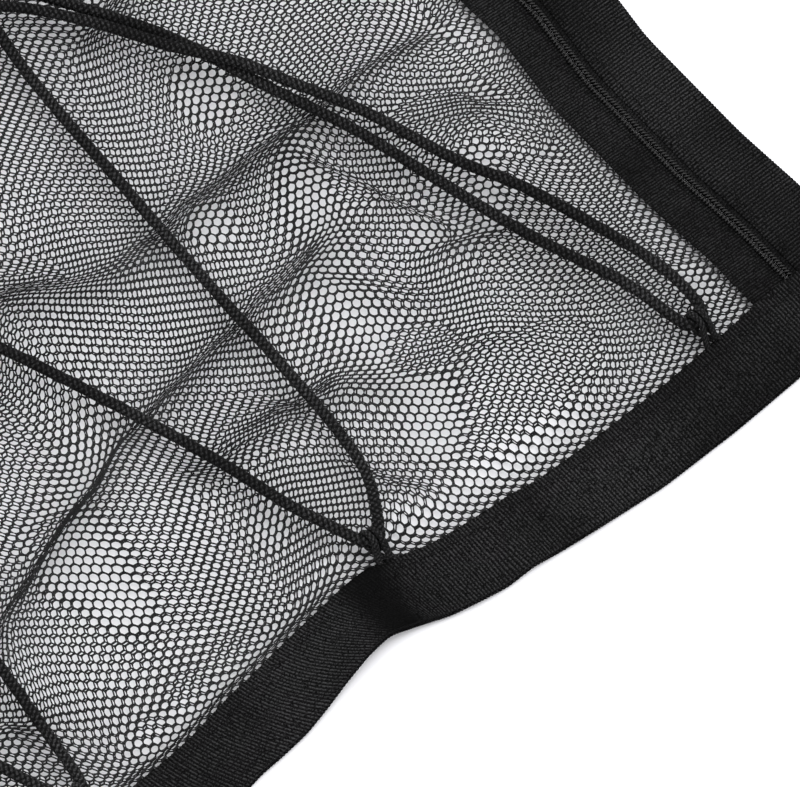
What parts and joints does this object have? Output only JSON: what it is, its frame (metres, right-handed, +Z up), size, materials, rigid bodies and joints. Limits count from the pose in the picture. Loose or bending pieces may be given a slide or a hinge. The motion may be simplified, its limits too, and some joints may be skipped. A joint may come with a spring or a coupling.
{
  "type": "ceiling storage net",
  "caption": "Flat two-layer mesh storage net with webbing edges, coil zips at its short sides, elastic cord lacing with cord locks, and buckled corner straps.",
  "frame": {"origin": "centre of the back face, on the surface the net lies on", "axes": "+X along the long edges, +Y along the zips, +Z up out of the laced front face"},
  "size_m": [1.224, 0.558, 0.0185],
  "materials": {
    "webbing": "ribbed black polyester webbing",
    "mesh": "black knitted polyester mesh with hexagonal holes",
    "zip_tape": "black woven zip tape",
    "zip_coil": "black nylon zip coil",
    "zip_metal": "black lacquered zinc",
    "loop_cord": "black braided cord",
    "lacing_cord": "black braided elastic cord",
    "buckle_plastic": "black moulded acetal",
    "spring_steel": "bright spring wire"
  },
  "bodies": {
    "net": {"back_mesh": "mesh", "front_mesh": "mesh", "near_back_band": "webbing", "far_back_band": "webbing", "right_back_band": "webbing", "left_back_band": "webbing", "near_front_band": "webbing", "far_front_band": "webbing", "right_front_band": "webbing", "left_front_band": "webbing", "right_zip_inner_tape": "zip_tape", "right_zip_outer_tape": "zip_tape", "right_zip_inner_coil": "zip_coil", "right_zip_outer_coil": "zip_coil", "right_zip_stops": "zip_metal", "left_zip_inner_tape": "zip_tape", "left_zip_outer_tape": "zip_tape", "left_zip_inner_coil": "zip_coil", "left_zip_outer_coil": "zip_coil", "left_zip_stops": "zip_metal", "near_cord_loops": "loop_cord", "far_cord_loops": "loop_cord", "locked_lacing_cord": "lacing_cord", "knotted_lacing_cord": "lacing_cord", "near_right_tab": "webbing", "far_right_tab": "webbing", "near_left_tab": "webbing", "far_left_tab": "webbing", "near_right_socket": "buckle_plastic", "far_right_socket": "buckle_plastic", "near_left_socket": "buckle_plastic", "far_left_socket": "buckle_plastic"},
    "right_slider": {"right_zip_slider": "zip_metal"},
    "right_pull": {"right_zip_pull": "zip_metal"},
    "right_lock": {"right_lock_barrel": "buckle_plastic", "right_lock_spring": "spring_steel"},
    "right_button": {"right_lock_button": "buckle_plastic"},
    "left_slider": {"left_zip_slider": "zip_metal"},
    "left_pull": {"left_zip_pull": "zip_metal"},
    "left_lock": {"left_lock_barrel": "buckle_plastic", "left_lock_spring": "spring_steel"},
    "left_button": {"left_lock_button": "buckle_plastic"},
    "near_right_release": {"near_right_plug": "buckle_plastic", "near_right_handle_loop": "webbing"},
    "far_right_release": {"far_right_plug": "buckle_plastic", "far_right_handle_loop": "webbing"},
    "near_left_release": {"near_left_plug": "buckle_plastic", "near_left_handle_loop": "webbing"},
    "far_left_release": {"far_left_plug": "buckle_plastic", "far_left_handle_loop": "webbing"}
  },
  "joints": [
    {"name": "right_zip_slide", "type": "slide", "parent": "net", "child": "right_slider", "axis": [0, -1, 0], "range_m": [0, 0.475]},
    {"name": "right_pull_swing", "type": "hinge", "parent": "right_slider", "child": "right_pull", "pos_m": [0.3758, 0.2361, 0.0076], "axis": [-1, 0, 0], "range_deg": [0, 175]},
    {"name": "right_lock_slide", "type": "slide", "parent": "net", "child": "right_lock", "axis": [0, 1, 0], "range_m": [-0.012, 0.012]},
    {"name": "right_button_press", "type": "slide", "parent": "right_lock", "child": "right_button", "axis": [-1, 0, 0], "range_m": [0, 0.0035], "stiffness_N_per_m": 1500, "springref_m": -0.002, "deforming": ["right_lock_spring"]},
    {"name": "left_zip_slide", "type": "slide", "parent": "net", "child": "left_slider", "axis": [0, 1, 0], "range_m": [0, 0.475]},
    {"name": "left_pull_swing", "type": "hinge", "parent": "left_slider", "child": "left_pull", "pos_m": [-0.3758, -0.2361, 0.0076], "axis": [1, 0, 0], "range_deg": [0, 175]},
    {"name": "left_lock_slide", "type": "slide", "parent": "net", "child": "left_lock", "axis": [0, -1, 0], "range_m": [-0.012, 0.012]},
    {"name": "left_button_press", "type": "slide", "parent": "left_lock", "child": "left_button", "axis": [1, 0, 0], "range_m": [0, 0.0035], "stiffness_N_per_m": 1500, "springref_m": -0.002, "deforming": ["left_lock_spring"]},
    {"name": "near_right_buckle_release", "type": "slide", "parent": "net", "child": "near_right_release", "axis": [1, 0, 0], "range_m": [0, 0.024]},
    {"name": "far_right_buckle_release", "type": "slide", "parent": "net", "child": "far_right_release", "axis": [1, 0, 0], "range_m": [0, 0.024]},
    {"name": "near_left_buckle_release", "type": "slide", "parent": "net", "child": "near_left_release", "axis": [-1, 0, 0], "range_m": [0, 0.024]},
    {"name": "far_left_buckle_release", "type": "slide", "parent": "net", "child": "far_left_release", "axis": [-1, 0, 0], "range_m": [0, 0.024]}
  ]
}
